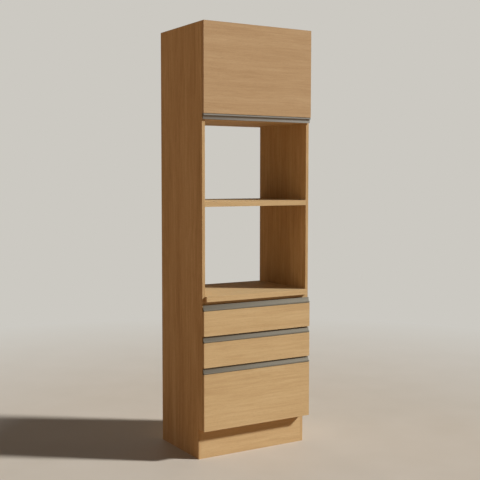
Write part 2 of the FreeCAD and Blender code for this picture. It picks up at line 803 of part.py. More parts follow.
def front_screws(drawer, bottom, height):
    """Four screws through the inner front into the front, and the holes that they need."""
    inset = mm.drawer_screw_inset
    slack = mm.fitting_clearance
    head_y = box_inner_y[0]
    screws = []
    holes = []
    for x in (inset - box_inner_half, box_inner_half - inset):
        for z in (bottom + inset, bottom + height - inset):
            name = f"{drawer}_{len(screws)}"
            tip = head_y - mm.drawer_screw_length
            head = rod(f"screw_head_{name}", "Y", (x, head_y, z), mm.drawer_screw_head_height,
                       mm.drawer_screw_head_radius)
            shank = rod(f"screw_shank_{name}", "Y", (x, tip, z), mm.drawer_screw_length,
                        mm.drawer_screw_radius)
            screws.append(fused(f"screw_{name}", [head, shank]))
            holes.append(rod(f"screw_hole_{name}", "Y", (x, tip - slack, z),
                             mm.drawer_screw_length + slack * 2, mm.drawer_screw_radius + slack))
    node(group(f"screw_set_{drawer}", screws), f"drawer_{drawer}_screws")
    return group(f"screw_holes_{drawer}", holes)


def drawer_box(drawer, bottom, height, holes):
    """Two sides, an inner front and a back round a thin bottom that sits in their grooves."""
    box_z = (bottom, bottom + height)
    sheet_bottom = bottom + mm.drawer_bottom_inset
    groove, sheet = groove_and_panel(
        f"drawer_{drawer}_bottom", box_inner_x, box_inner_y,
        (sheet_bottom, sheet_bottom + mm.drawer_bottom_thickness), "z")
    boards = {
        "side_left": ((-box_half, -box_inner_half), box_y),
        "side_right": ((box_inner_half, box_half), box_y),
        "inner_front": (box_inner_x, (box_y[0], box_inner_y[0])),
        "back": (box_inner_x, (box_inner_y[1], box_y[1])),
    }
    for label, (x, y) in boards.items():
        board = block(f"drawer_{drawer}_{label}_board", x, y, box_z)
        cuts = [groove, holes] if label == "inner_front" else [groove]
        node(cut(f"drawer_{drawer}_{label}_grooved", board, cuts), f"drawer_{drawer}_{label}")
    node(sheet, f"drawer_{drawer}_bottom")


for drawer, (front_bottom, front_height, lift, box_height) in DRAWERS.items():
    box_bottom = front_bottom + lift
    holes = front_screws(drawer, box_bottom, box_height)
    front_panel(f"drawer_{drawer}_front", front_bottom, front_height, handle_at_top=True,
                more_cuts=[holes])
    handle_profile(f"drawer_{drawer}_handle", front_bottom + front_height, turned=False)
    drawer_box(drawer, box_bottom, box_height, holes)
    runner_set(drawer, box_bottom + box_height / 2)

# ---- bumper pads on the side panels' front edges ----

bumper_heights = [places[0] + mm.bumper_inset for places in DRAWERS.values()]
bumper_heights.append(flap_bottom + mm.bumper_inset)
bumpers = []
for number, height in enumerate(bumper_heights):
    for side, step in zip(SIDES, (-1, 1)):
        place = ((inner_half + mm.board_thickness / 2) * step, carcass_front - mm.bumper_thickness, height)
        bumpers.append(rod(f"bumper_{side}_{number}", "Y", place, mm.bumper_thickness, mm.bumper_radius))
node(group("bumper_set", bumpers), "bumper_pads")

# ---- build, test and write ----

doc.recompute()
faults = [item.Name for item in doc.Objects if "Invalid" in item.State or "Error" in item.State]
if faults:
    raise SystemExit(f"failed features: {faults}")
for item in nodes:
    if item.Shape.isNull() or not item.Shape.isValid() or item.Shape.Volume <= 0:
        raise SystemExit(f"bad shape: {item.Label}")
    item.Shape.exportStep(f"parts/{item.Label}.step")
print(f"{len(nodes)} pieces written")
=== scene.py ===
"""A tall microwave cabinet: its finish, small fittings, camera and studio."""
import json
import math

import bmesh
import bpy
from mathutils import Matrix, Vector


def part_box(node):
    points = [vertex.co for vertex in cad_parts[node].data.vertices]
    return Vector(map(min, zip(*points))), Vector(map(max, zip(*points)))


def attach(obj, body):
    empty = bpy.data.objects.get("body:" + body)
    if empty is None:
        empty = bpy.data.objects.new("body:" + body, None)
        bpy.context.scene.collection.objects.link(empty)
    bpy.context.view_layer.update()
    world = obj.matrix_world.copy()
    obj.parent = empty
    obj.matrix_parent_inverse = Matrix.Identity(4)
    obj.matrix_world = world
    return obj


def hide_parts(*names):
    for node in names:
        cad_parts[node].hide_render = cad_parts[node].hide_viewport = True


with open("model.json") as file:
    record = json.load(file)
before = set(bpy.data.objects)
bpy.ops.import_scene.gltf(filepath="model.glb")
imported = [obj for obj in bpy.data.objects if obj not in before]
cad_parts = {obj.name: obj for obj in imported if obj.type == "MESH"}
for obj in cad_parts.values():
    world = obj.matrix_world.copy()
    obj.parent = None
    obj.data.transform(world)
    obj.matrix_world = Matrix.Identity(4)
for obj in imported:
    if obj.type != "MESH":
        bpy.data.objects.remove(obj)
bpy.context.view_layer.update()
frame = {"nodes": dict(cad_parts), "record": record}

SIDES = (-1, 1)
DRAWERS = ("low", "mid", "top")

# ---- colours: sRGB from 0 to 255, each list from its darkest tone to its lightest ----

WOOD_TONES = ((174, 143, 101), (193, 165, 121), (208, 183, 140))
# The side panels' laminate: its middle tone is darker and warmer than the fronts', painted shade of
# the shaded sides. Its wider spread is the grain's.
UPRIGHT_SHADED_TONES = ((155, 122, 81), (188, 157, 112), (215, 188, 145))
DRAWER_TONES = ((196, 188, 172), (206, 199, 184), (214, 208, 195))
HARDBOARD_TONES = ((158, 130, 98), (170, 142, 108), (182, 154, 120))
BEECH_TONES = ((190, 152, 108), (204, 170, 124), (214, 184, 142))
ALUMINIUM_TONES = ((116, 112, 100), (126, 122, 110), (136, 132, 120))
ZINC_TONES = ((176, 178, 182), (192, 194, 198), (206, 207, 210))
BLACK_TONES = ((24, 24, 26), (34, 34, 36), (48, 47, 46))
PLASTIC_TONES = ((206, 204, 196), (226, 225, 219))
FLOOR_TONES = ((196, 186, 171), (206, 197, 184))
BACKGROUND = (204, 201, 194)

# The light that the floor throws back on the object is warmer than the floor looks.
FLOOR_BOUNCE = (194, 159, 125)

# The flap's board is painted darker than the other fronts: painted shade. The flap's handle is
# painted lighter than the other profiles: a painted highlight. Their tones are multiplied by these.
FLAP_PAINTED_SHADE = (0.94, 0.92, 0.94)
FLAP_HANDLE_PAINTED_HIGHLIGHT = (1.12, 1.15, 1.22)

# ---- the wood's grain ----

# Each layer: features to a metre along and across the grain, the noise's detail and roughness,
# and the layer's share of the tone.
GRAIN_LAYERS = {
    "bands": (1.2, 16.0, 2.0, 0.5, 0.22),
    "rings": (2.4, 75.0, 3.0, 0.6, 0.3),
    "streaks": (7.0, 240.0, 3.0, 0.65, 0.31),
    "fibres": (22.0, 1100.0, 2.0, 0.6, 0.17),
}
LAYER_RANGE = (0.28, 0.72)

# The grain's waviness and its pores: features to a metre, and how many metres the grain sways.
SWAY_ALONG, SWAY_ACROSS, SWAY = 2.2, 7.0, 0.035
PORES_ALONG, PORES_ACROSS, PORE_RANGE = 80.0, 1700.0, (0.64, 0.76)
PORE_SHARE, LIGHTER_EDGE_SHARE = 0.3, 0.3

# Each board's grain starts at a place of its own: its number times these metres.
SEED_SHIFT = (3.71, 1.37, 2.19)

# How squarely a face must look along the grain to be drawn as an edge band, and not as end grain.
BAND_FACING = (0.6, 0.8)

# Pores and seams are a board's darkest tone times these.
DARK_GRAIN = 0.72
DARK_LAMINATE = 0.6

# A line beside a board's edge, where the edge band ends: metres from the edge at which it starts,
# is darkest and ends.
WOOD_SEAM = (0.0008, 0.0011, 0.0014)
LAMINATE_SEAM = (0.0004, 0.0006, 0.0009)
SEAM_DEPTH = 0.4
# How far from a board's edge its tone is drawn towards the lightest tone, in metres.
LIGHTER_EDGE_WIDTH = 0.0015

# The range of noise that roughness and mottling are spread over: little lies outside it.
NOISE_LOW, NOISE_HIGH = 0.3, 0.7

# ---- the photograph's camera, solved from the cabinet's straight edges ----

CAMERA_PLACE = (-2.27811, -3.81268, 1.33717)

# In degrees: the turn from +Y to +X, the look down, and the roll.
TURN_TO_X, LOOK_DOWN, ROLL = 31.16, 4.03, 0.06
FOCAL_PIXELS, IMAGE_PIXELS = 890.52, 480
SENSOR_WIDTH = 36

# ---- the studio ----

# Each sun lamp: the direction that its light comes from, its strength, its width in degrees, its
# colour, and whether shiny surfaces mirror it.
LAMPS = {
    "key": ((76.6, -56.0, 60.7), 4.4, 5, (1.0, 1.0, 1.0), True),
    "rear_fill": ((0.0, 1.0, 0.045), 1.6, 4, (1.0, 0.88, 0.76), False),
    "side_fill": ((-1.0, -0.1, 0.2), 0.37, 34, (1.0, 0.69, 0.53), False),
}
SURROUND_COLOUR = (1.0, 0.66, 0.42, 1)
SURROUND_STRENGTH = 0.03
FLOOR_RADIUS, FLOOR_SIDES = 30, 96
FADE_START, FADE_END = 1.2, 4.0

# ---- the rounding of edges: widths in metres by slot, and the least angle in degrees ----

EDGE_WIDTHS = {"wood_upright": 0.0006, "wood_board": 0.0006, "wood_front": 0.0007,
               "drawer_board": 0.0005, "aluminium_profile": 0.00025}
EDGE_WELD = 0.00001
EDGE_STEPS = 2
EDGE_ANGLE = 60

# ---- small fittings: lengths in metres, angles in degrees ----

# The points in a ring, the angle from which an edge is shaded sharp, and the threads shown.
ROUND = 24
SHARP_ANGLE = 32
SCREW_THREADS = 9
BOLT_THREADS = 5

# Points closer than this are one point of a solid.
WELD = 1e-6

# The head's thickness and the shank's radius.
DRAWER_HEAD, DRAWER_SHANK = 0.002, 0.002
HINGE_HEAD, HINGE_SHANK = 0.0009, 0.0012

# Cams are taller than this and bolts are lower.
CAM_LEAST_HEIGHT = 0.008
CAM_SLOT_DEPTH, CAM_FACE_DEPTH, CAM_CHAMFER = 0.0035, 0.0003, 0.0004

# A cap's rings as shares of its radius and heights, how far it laps over its cam, and how near a
# niche board's underside a cam has to be to get one.
CAP_RINGS = ((0.5, -0.0012), (0.88, -0.00105), (0.97, -0.0007), (1.0, -0.0001))
CAP_OVERLAP = 0.0012
UNDERSIDE_REACH = 0.001
DOME_ANGLES = (0, 12, 24, 36, 48, 60, 72, 84)

# A runner's sheet, where its screws sit as shares of its length, and their sizes.
RUNNER_METAL = 0.0012
RUNNER_SCREWS = (0.1, 0.46, 0.86)
PAN_RADIUS, PAN_HEAD, PAN_SHANK = 0.0032, 0.0009, 0.0014

# How far a release lever's two ends are from the back end of its runner, and its sizes.
LEVER_NEAR, LEVER_FAR = 0.016, 0.052
LEVER_THICK, LEVER_HALF_HEIGHT, LEVER_BEVEL = 0.0022, 0.0045, 0.0007


def linear(colour):
    """An sRGB colour of 0 to 255 as the linear RGBA that shaders take."""
    shares = [c / 255 for c in colour]
    return [s / 12.92 if s <= 0.04045 else ((s + 0.055) / 1.055) ** 2.4 for s in shares] + [1.0]


def scaled(colours, shares):
    """Colours with their red, green and blue multiplied by three shares."""
    return [tuple(c * share for c, share in zip(colour, shares)) for colour in colours]


def darkened(colour, share):
    """An sRGB colour multiplied by one share, as linear RGBA."""
    return linear([c * share for c in colour])


class Graph:
    """A material and short calls for the nodes in it."""

    def __init__(self, name):
        self.material = bpy.data.materials.new(name)
        self.material.use_nodes = True
        self.tree = self.material.node_tree
        self.shader = self.tree.nodes["Principled BSDF"]

    def add(self, kind, inputs, **settings):
        item = self.tree.nodes.new(kind)
        for key, value in settings.items():
            setattr(item, key, value)
        for key, value in inputs.items():
            self.feed(item.inputs[key], value)
        return item

    def feed(self, socket, value):
        if isinstance(value, bpy.types.NodeSocket):
            self.tree.links.new(value, socket)
        else:
            socket.default_value = value

    def set(self, **inputs):
        for key, value in inputs.items():
            self.feed(self.shader.inputs[key.replace("_", " ")], value)

    def math(self, operation, a, b=0.0):
        return self.add("ShaderNodeMath", {0: a, 1: b}, operation=operation).outputs[0]

    def vector(self, operation, a, b=(0, 0, 0), output=0):
        item = self.add("ShaderNodeVectorMath", {0: a, 1: b}, operation=operation)
        return item.outputs[output]

    def coordinates(self, output="Object"):
        return self.add("ShaderNodeTexCoord", {}).outputs[output]

    def parts(self, vector):
        return self.add("ShaderNodeSeparateXYZ", {0: vector}).outputs[:3]

    def join(self, x, y, z):
        return self.add("ShaderNodeCombineXYZ", {0: x, 1: y, 2: z}).outputs[0]

    def noise(self, vector, scale=1.0, detail=2.0, roughness=0.5, distortion=0.0):
        item = self.add("ShaderNodeTexNoise", {
            "Vector": vector, "Scale": scale, "Detail": detail, "Roughness": roughness,
            "Distortion": distortion})
        return item.outputs["Factor"] if "Factor" in item.outputs else item.outputs["Fac"]

    def remap(self, value, low, high, to_low=0.0, to_high=1.0):
        item = self.add("ShaderNodeMapRange", {
            0: value, 1: low, 2: high, 3: to_low, 4: to_high}, clamp=True)
        return item.outputs[0]

    def spread(self, noise, to_low=0.0, to_high=1.0):
        """The usual range of noise as another range."""
        return self.remap(noise, NOISE_LOW, NOISE_HIGH, to_low, to_high)

    def weighted(self, a, share, b):
        """Two values added up: the first by its share, the second by what is left."""
        rest = self.math("MULTIPLY", b, 1 - share)
        return self.math("ADD", self.math("MULTIPLY", a, share), rest)

    def ramp(self, value, colours):
        """Colours spread evenly over a value from 0 to 1."""
        item = self.add("ShaderNodeValToRGB", {0: value})
        points = item.color_ramp.elements
        while len(points) < len(colours):
            points.new(0.5)
        for number, colour in enumerate(colours):
            points[number].position = number / (len(colours) - 1)
            points[number].color = linear(colour)
        return item.outputs[0]

    def blend(self, share, a, b):
        item = self.add("ShaderNodeMix", {0: share}, data_type="RGBA")
        self.feed(item.inputs[6], a)
        self.feed(item.inputs[7], b)
        return item.outputs[2]

    def bump(self, height, strength, distance):
        item = self.add("ShaderNodeBump", {
            "Height": height, "Strength": strength, "Distance": distance})
        self.set(Normal=item.outputs[0])


# ---- materials ----

def second_largest(graph, x, y, z):
    """The middle one of three values."""
    pairs = [graph.math("MINIMUM", a, b) for a, b in ((x, y), (y, z), (x, z))]
    return graph.math("MAXIMUM", graph.math("MAXIMUM", pairs[0], pairs[1]), pairs[2])


def edge_distance(graph, low, high):
    """How far a point on a box's surface is from the nearest edge, in metres."""
    centre = (low + high) / 2
    half = (high - low) / 2
    away = graph.vector("ABSOLUTE", graph.vector("SUBTRACT", graph.coordinates(), centre))
    inside = graph.vector("SUBTRACT", away, half)
    return graph.math("MULTIPLY", second_largest(graph, *graph.parts(inside)), -1.0)


def with_seam(graph, colour, edge, places, darker):
    """A colour with a fine dark line beside the edge, where the edge band ends."""
    start, middle, end = places
    line = graph.math("MULTIPLY", graph.remap(edge, start, middle), graph.remap(edge, end, middle))
    return graph.blend(graph.math("MULTIPLY", line, SEAM_DEPTH), colour, darker)


def grain_space(graph, axis, seed):
    """Coordinates whose X runs along the grain, also on the faces that would show end grain."""
    x, y, z = graph.parts(graph.coordinates())
    spaces = {"X": graph.join(x, y, z), "Y": graph.join(y, z, x), "Z": graph.join(z, x, y)}
    banded = {"X": graph.join(z, y, x), "Y": graph.join(x, z, y), "Z": graph.join(y, x, z)}
    facing = graph.parts(graph.vector("ABSOLUTE", graph.coordinates("Normal")))["XYZ".index(axis)]
    mixed = graph.add("ShaderNodeMix", {0: graph.remap(facing, *BAND_FACING)}, data_type="VECTOR")
    graph.feed(mixed.inputs[4], spaces[axis])
    graph.feed(mixed.inputs[5], banded[axis])
    return graph.vector("ADD", mixed.outputs[1], [seed * step for step in SEED_SHIFT])


def stretched(graph, space, along, across):
    """Coordinates multiplied by one number along X and by another across it."""
    return graph.vector("MULTIPLY", space, (along, across, across))


def wood(name, node, axis, seed, tones=WOOD_TONES):
    """Satin laminate with a fine, slightly wavy grain and banded edges."""
    graph = Graph(name)
    space = grain_space(graph, axis, seed)
    sway = graph.noise(stretched(graph, space, SWAY_ALONG, SWAY_ACROSS), detail=2.0)
    sway = graph.math("MULTIPLY", graph.math("SUBTRACT", sway, 0.5), SWAY)
    space = graph.vector("ADD", space, graph.join(0.0, sway, sway))
    layers = {}
    tone = 0.0
    for layer, (along, across, detail, roughness, share) in GRAIN_LAYERS.items():
        place = stretched(graph, space, along, across)
        layers[layer] = graph.noise(place, detail=detail, roughness=roughness)
        part = graph.math("MULTIPLY", graph.remap(layers[layer], *LAYER_RANGE), share)
        tone = graph.math("ADD", tone, part)
    pores = graph.noise(stretched(graph, space, PORES_ALONG, PORES_ACROSS), detail=0.0)
    pores = graph.remap(pores, *PORE_RANGE)
    colour = graph.ramp(tone, tones)
    darker = darkened(tones[0], DARK_GRAIN)
    colour = graph.blend(graph.math("MULTIPLY", pores, PORE_SHARE), colour, darker)
    edge = edge_distance(graph, *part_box(node))
    colour = with_seam(graph, colour, edge, WOOD_SEAM, darker)
    # Along each edge the tone is drawn towards the lightest, more on some streaks than on others.
    edge_streaks = graph.remap(layers["streaks"], 0.35, 0.6)
    lighter_edge = graph.math("MULTIPLY", graph.remap(edge, LIGHTER_EDGE_WIDTH, 0.0), edge_streaks)
    colour = graph.blend(graph.math("MULTIPLY", lighter_edge, LIGHTER_EDGE_SHARE), colour, linear(tones[2]))
    rough = graph.spread(layers["fibres"], 0.6, 0.72)
    graph.set(Base_Color=colour, Roughness=rough, Specular_IOR_Level=0.06)
    height = graph.math("SUBTRACT", layers["fibres"], graph.math("MULTIPLY", pores, 0.8))
    graph.bump(height, strength=0.25, distance=0.0002)
    return graph.material


def smooth_board(name, node, tones, seed):
    """Pale laminate with a faint pearl texture and banded edges."""
    graph = Graph(name)
    place = graph.vector("ADD", graph.coordinates(), (seed, seed, seed))
    cloud = graph.noise(place, scale=9.0, detail=3.0)
    pearl = graph.noise(place, scale=900.0, detail=2.0)
    tone = graph.weighted(cloud, 0.6, pearl)
    colour = graph.ramp(graph.remap(tone, 0.35, 0.65), tones)
    edge = edge_distance(graph, *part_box(node))
    colour = with_seam(graph, colour, edge, LAMINATE_SEAM, darkened(tones[0], DARK_LAMINATE))
    rough = graph.spread(pearl, 0.42, 0.55)
    graph.set(Base_Color=colour, Roughness=rough, Specular_IOR_Level=0.3)
    graph.bump(pearl, strength=0.2, distance=0.0001)
    return graph.material


def hardboard(name, seed):
    """Thin pressed board: flecked with short fibres."""
    graph = Graph(name)
    place = graph.vector("ADD", graph.coordinates(), (seed, seed, seed))
    cloud = graph.noise(place, scale=6.0, detail=4.0)
    flecks = graph.noise(stretched(graph, place, 420, 420), detail=3.0, distortion=1.2)
    tone = graph.weighted(cloud, 0.5, flecks)
    colour = graph.ramp(graph.remap(tone, 0.32, 0.68), HARDBOARD_TONES)
    rough = graph.spread(flecks, 0.6, 0.75)
    graph.set(Base_Color=colour, Roughness=rough, Specular_IOR_Level=0.2)
    graph.bump(flecks, strength=0.3, distance=0.0002)
    return graph.material


def aluminium(name, tones=ALUMINIUM_TONES):
    """Satin anodised extrusion: fine die lines along X."""
    graph = Graph(name)
    place = graph.coordinates()
    lines = graph.noise(stretched(graph, place, 1.5, 2200), detail=3.0, roughness=0.7)
    haze = graph.noise(stretched(graph, place, 9, 60), detail=3.0)
    colour = graph.ramp(graph.weighted(lines, 0.6, haze), tones)
    rough = graph.remap(lines, 0.25, 0.75, 0.78, 0.88)
    graph.set(Base_Color=colour, Metallic=0.22, Roughness=rough, Specular_IOR_Level=0.2)
    graph.bump(lines, strength=0.15, distance=0.00005)
    return graph.material


def zinc(name):
    """Zinc plated steel: a cool, slightly mottled sheen with fine scratches."""
    graph = Graph(name)
    place = graph.coordinates()
    mottle = graph.noise(place, scale=140.0, detail=4.0)
    scratches = graph.noise(graph.vector("MULTIPLY", place, (400, 12, 1800)), detail=2.0)
    colour = graph.ramp(graph.spread(mottle), ZINC_TONES)
    scratched = graph.math("MULTIPLY", scratches, 0.1)
    rough = graph.math("ADD", graph.spread(mottle, 0.34, 0.44), scratched)
    graph.set(Base_Color=colour, Metallic=0.7, Roughness=rough)
    graph.bump(scratches, strength=0.1, distance=0.00005)
    return graph.material


def black_paint(name):
    """Satin black lacquer with a little orange peel and dust in it."""
    graph = Graph(name)
    place = graph.coordinates()
    peel = graph.noise(place, scale=700.0, detail=2.0)
    dust = graph.noise(place, scale=60.0, detail=5.0)
    graph.set(Base_Color=graph.ramp(dust, BLACK_TONES), Roughness=graph.spread(dust, 0.3, 0.42))
    graph.bump(peel, strength=0.15, distance=0.0001)
    return graph.material


def soft_plastic(name):
    """Clear soft plastic, slightly clouded."""
    graph = Graph(name)
    cloud = graph.noise(graph.coordinates(), scale=500.0, detail=3.0)
    graph.set(Base_Color=graph.ramp(cloud, PLASTIC_TONES), Roughness=graph.spread(cloud, 0.22, 0.4),
              Transmission_Weight=0.45, IOR=1.45)
    graph.bump(cloud, strength=0.1, distance=0.0001)
    return graph.material


SHARED = {
    "aluminium_profile": aluminium("aluminium_profile"),
    "zinc_steel": zinc("zinc_steel"),
    "strut_paint": black_paint("strut_paint"),
    "bumper_plastic": soft_plastic("bumper_plastic"),
}


# ---- camera and studio ----

def camera():
    """The photograph's camera: its place, how far it turns to +X, looks down and rolls."""
    turn, down, roll = (math.radians(angle) for angle in (TURN_TO_X, LOOK_DOWN, ROLL))
    ahead = math.cos(down)
    forward = Vector((math.sin(turn) * ahead, math.cos(turn) * ahead, -math.sin(down)))
    level = Vector((math.cos(turn), -math.sin(turn), 0))
    upright = level.cross(forward)
    right = level * math.cos(roll) + upright * math.sin(roll)
    up = upright * math.cos(roll) - level * math.sin(roll)
    data = bpy.data.cameras.new("camera")
    data.sensor_width = SENSOR_WIDTH
    data.lens = SENSOR_WIDTH * FOCAL_PIXELS / IMAGE_PIXELS
    item = bpy.data.objects.new("camera", data)
    bpy.context.scene.collection.objects.link(item)
    turned = Matrix((right, up, -forward)).transposed()
    item.matrix_world = Matrix.Translation(Vector(CAMERA_PLACE)) @ turned.to_4x4()
    bpy.context.scene.camera = item


def surround():
    """A faint warm light from all round. The camera and shiny surfaces see the background."""
    world = bpy.data.worlds.new("surround")
    bpy.context.scene.world = world
    world.use_nodes = True
    tree = world.node_tree
    light = tree.nodes["Background"]
    light.inputs[0].default_value = SURROUND_COLOUR
    light.inputs[1].default_value = SURROUND_STRENGTH
    shown = tree.nodes.new("ShaderNodeBackground")
    shown.inputs[0].default_value = linear(BACKGROUND)
    rays = tree.nodes.new("ShaderNodeLightPath")
    seen = tree.nodes.new("ShaderNodeMath")
    seen.operation = "MAXIMUM"
    tree.links.new(rays.outputs["Is Camera Ray"], seen.inputs[0])
    tree.links.new(rays.outputs["Is Glossy Ray"], seen.inputs[1])
    mix = tree.nodes.new("ShaderNodeMixShader")
    tree.links.new(seen.outputs[0], mix.inputs[0])
    tree.links.new(light.outputs[0], mix.inputs[1])
    tree.links.new(shown.outputs[0], mix.inputs[2])
    tree.links.new(mix.outputs[0], tree.nodes["World Output"].inputs[0])


def lamps():
    """Sun lamps: a key, a low one from behind and a wide one from the left."""
    for name, (towards, strength, width, colour, mirrored) in LAMPS.items():
        data = bpy.data.lights.new(name, "SUN")
        data.energy = strength
        data.angle = math.radians(width)
        data.color = colour
        item = bpy.data.objects.new(name, data)
        bpy.context.scene.collection.objects.link(item)
        item.matrix_world = Vector(towards).to_track_quat("Z", "Y").to_matrix().to_4x4()
        item.visible_glossy = mirrored


def floor():
    """A pale floor that fades into the background."""
    mesh = bpy.data.meshes.new("floor")
    shape = bmesh.new()
    bmesh.ops.create_circle(shape, cap_ends=True, segments=FLOOR_SIDES, radius=FLOOR_RADIUS)
    shape.to_mesh(mesh)
    shape.free()
    item = bpy.data.objects.new("floor", mesh)
    bpy.context.scene.collection.objects.link(item)
    graph = Graph("pale_floor")
    place = graph.coordinates()
    mottle = graph.noise(place, scale=3.0, detail=4.0)
    rays = graph.add("ShaderNodeLightPath", {})
    shown = graph.ramp(mottle, FLOOR_TONES)
    colour = graph.blend(rays.outputs["Is Camera Ray"], linear(FLOOR_BOUNCE), shown)
    graph.set(Base_Color=colour, Roughness=0.6, Specular_IOR_Level=0.2)
    fade = graph.remap(graph.vector("LENGTH", place, output="Value"), FADE_START, FADE_END)
    seen = graph.math("MAXIMUM", rays.outputs["Is Camera Ray"], rays.outputs["Is Glossy Ray"])
    far = graph.add("ShaderNodeEmission", {"Color": linear(BACKGROUND), "Strength": 1.0})
    mix = graph.add("ShaderNodeMixShader", {0: graph.math("MULTIPLY", fade, seen)})
    graph.feed(mix.inputs[1], graph.shader.outputs[0])
    graph.feed(mix.inputs[2], far.outputs[0])
    graph.feed(graph.tree.nodes["Material Output"].inputs[0], mix.outputs[0])
    mesh.materials.append(graph.material)


# ---- the finish of the cabinet's own pieces ----

def finish_of(node, slot, number):
    """A piece's material. Each board has its own grain, set apart by its number."""
    # The flap's handle gets a lighter copy of the aluminium: a painted highlight.
    if node == "flap_handle":
        return aluminium("aluminium_flap_painted_highlight", scaled(ALUMINIUM_TONES, FLAP_HANDLE_PAINTED_HIGHLIGHT))
    if slot in SHARED:
        return SHARED[slot]
    if slot == "thin_panel":
        return hardboard(f"hardboard_{node}", number)
    if slot == "drawer_board":
        return smooth_board(f"laminate_{node}", node, DRAWER_TONES, number)
    if slot == "dowel_wood":
        return wood(f"beech_{node}", node, "X", number, BEECH_TONES)
    if node == "flap_panel":
        # The flap's board: its wood tones darkened as painted shade.
        return wood(f"wood_{node}", node, "X", number, scaled(WOOD_TONES, FLAP_PAINTED_SHADE))
    if slot == "wood_upright":
        # Side panels: their darker, warmer tones are painted shade.
        return wood(f"wood_{node}", node, "Z", number, UPRIGHT_SHADED_TONES)
    return wood(f"wood_{node}", node, "X", number)


def dress_all():
    """Every CAD node's finish, from its slot in the record."""
    for number, part in enumerate(sorted(frame["record"]["subparts"], key=lambda p: p["node"])):
        mesh = frame["nodes"][part["node"]].data
        mesh.materials.clear()
        mesh.materials.append(finish_of(part["node"], part["material_slot"], number))


def round_edges():
    """A fine rounding on boards and profiles, as the real edges have."""
    for part in frame["record"]["subparts"]:
        width = EDGE_WIDTHS.get(part["material_slot"])
        if width is None:
            continue
        item = frame["nodes"][part["node"]]
        weld = item.modifiers.new("weld", "WELD")
        weld.merge_threshold = EDGE_WELD
        bevel = item.modifiers.new("round", "BEVEL")
        bevel.width = width
        bevel.segments = EDGE_STEPS
        bevel.limit_method = "ANGLE"
        bevel.angle_limit = math.radians(EDGE_ANGLE)
        bevel.harden_normals = True


# ---- how the small fittings are made ----

def piece(name, body, material, build, replaces=()):
    """A mesh made by build(shape), riding on a body and finished from a slot."""
    mesh = bpy.data.meshes.new(name)
    shape = bmesh.new()
    build(shape)
    bmesh.ops.recalc_face_normals(shape, faces=shape.faces)
    shape.to_mesh(mesh)
    shape.free()
    item = bpy.data.objects.new(name, mesh)
    bpy.context.scene.collection.objects.link(item)
    mesh.materials.append(material)
    mesh.set_sharp_from_angle(angle=math.radians(SHARP_ANGLE))
    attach(item, body)
    if replaces:
        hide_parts(*replaces)


def shared_piece(name, body, slot, build, replaces=()):
    """A piece in the material that its whole slot shares."""
    piece(name, body, SHARED[slot], build, replaces)


def ring(radius, height):
    """A circle of points about Z."""
    turns = [2 * math.pi * step / ROUND for step in range(ROUND)]
    return [(radius * math.cos(turn), radius * math.sin(turn), height) for turn in turns]


def cross(reach, arm, height):
    """The outline of a cross-shaped recess, with a point for each point of a ring."""
    points = []
    for quarter in range(4):
        turn = Matrix.Rotation(quarter * math.pi / 2, 3, "Z")
        side = [(reach, 0), (reach, arm), ((reach + arm) / 2, arm), (arm, arm),
                (arm, (reach + arm) / 2), (arm, reach)]
        points += [tuple(turn @ Vector((x, y, height))) for x, y in side]
    return points


def stack(shape, rings, place, axis):
    """Skin rings of points one after another, with the first and last filled, along an axis."""
    turned = Vector(axis).to_track_quat("Z", "Y").to_matrix().to_4x4()
    move = Matrix.Translation(Vector(place)) @ turned
    rows = [[shape.verts.new(move @ Vector(point)) for point in points] for points in rings]
    for low, high in zip(rows, rows[1:]):
        for step in range(ROUND):
            after = (step + 1) % ROUND
            shape.faces.new((low[step], low[after], high[after], high[step]))
    shape.faces.new(rows[0])
    shape.faces.new(rows[-1])


def solids(node):
    """The low and high corners of each separate solid in a node."""
    shape = bmesh.new()
    shape.from_mesh(frame["nodes"][node].data)
    bmesh.ops.remove_doubles(shape, verts=shape.verts, dist=WELD)
    found = []
    left = set(shape.verts)
    while left:
        group = [left.pop()]
        for vert in group:
            for edge in vert.link_edges:
                other = edge.other_vert(vert)
                if other in left:
                    left.remove(other)
                    group.append(other)
        low = Vector([min(v.co[k] for v in group) for k in range(3)])
        high = Vector([max(v.co[k] for v in group) for k in range(3)])
        found.append((low, high))
    shape.free()
    return sorted(found, key=lambda box: tuple(round(c, 4) for c in box[0]))


# ---- screws ----

def screw_rings(head, thick, shank, length, sunk):
    """A screw along -Z with its head's face at the origin and a cross recess in it."""
    rings = [cross(head * 0.5, head * 0.13, -thick * 0.7), cross(head * 0.58, head * 0.17, 0.0),
             ring(head * 0.8, 0.0), ring(head, -thick * 0.3)]
    if not sunk:
        rings += [ring(head, -thick)]
    rings += [ring(shank, -thick)]
    for turn in range(SCREW_THREADS):
        at = -thick - (length - thick) * (0.2 + 0.65 * turn / SCREW_THREADS)
        rings += [ring(shank * 0.82, at), ring(shank, at - shank * 0.25)]
    return rings + [ring(shank * 0.8, -length + shank), ring(shank * 0.1, -length)]


def screws_for(node, thick, shank, sunk, facing):
    """A build(shape) that puts a screw along Y, head towards facing, in each solid's place."""
    def build(shape):
        for low, high in solids(node):
            middle = (low + high) / 2
            head = (high.x - low.x) / 2
            outer = high.y if facing > 0 else low.y
            rings = screw_rings(head, thick, shank, high.y - low.y, sunk)
            stack(shape, rings, (middle.x, outer, middle.z), (0, facing, 0))

    return build


def drawer_screws(drawer):
    """Pan head screws that hold a drawer's front to its box."""
    node = f"drawer_{drawer}_screws"
    build = screws_for(node, DRAWER_HEAD, DRAWER_SHANK, sunk=False, facing=1)
    shared_piece(f"front_screws_{drawer}", f"drawer_{drawer}", "zinc_steel", build, [node])


def hinge_screws(side, body, facing):
    """Sunk screws in one leaf of the flap's hinge."""
    node = f"hinge_screws_{side}"
    build = screws_for(node, HINGE_HEAD, HINGE_SHANK, sunk=True, facing=facing)
    shared_piece(f"sunk_screws_{side}", body, "zinc_steel", build, [node])


